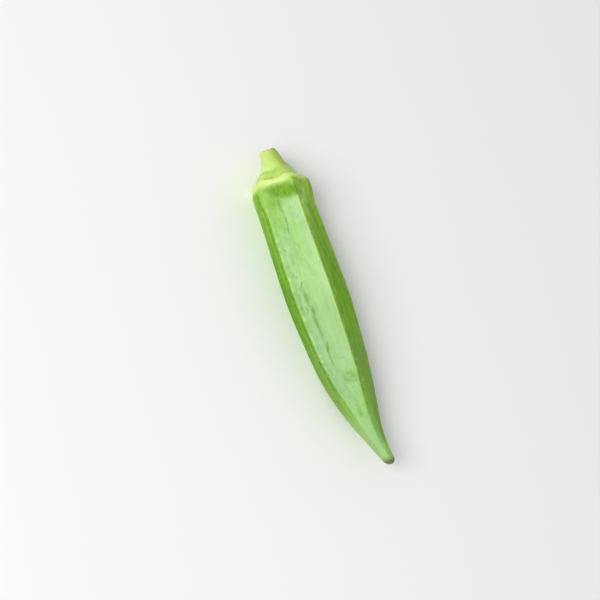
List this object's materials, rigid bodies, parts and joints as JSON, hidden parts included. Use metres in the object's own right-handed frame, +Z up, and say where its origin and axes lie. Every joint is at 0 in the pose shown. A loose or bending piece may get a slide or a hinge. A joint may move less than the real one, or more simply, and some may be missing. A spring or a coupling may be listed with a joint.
{
  "type": "okra pod",
  "caption": "Fresh okra pod with its cut stem: long, five-ridged, tapering to a hooked blunt tip, with a collar round a cone-shaped cap, lying on one face.",
  "frame": {"origin": "centre of the bounding box in X and Y, on the surface that the pod lies on", "axes": "+X along the pod from the cut stem to the tip, +Z up, away from the surface it lies on"},
  "size_m": [0.1064, 0.0212, 0.019],
  "materials": {
    "pod_skin": "satin",
    "stem_skin": "satin"
  },
  "bodies": {
    "root": {"pod": "pod_skin", "stem": "stem_skin"}
  },
  "joints": []
}
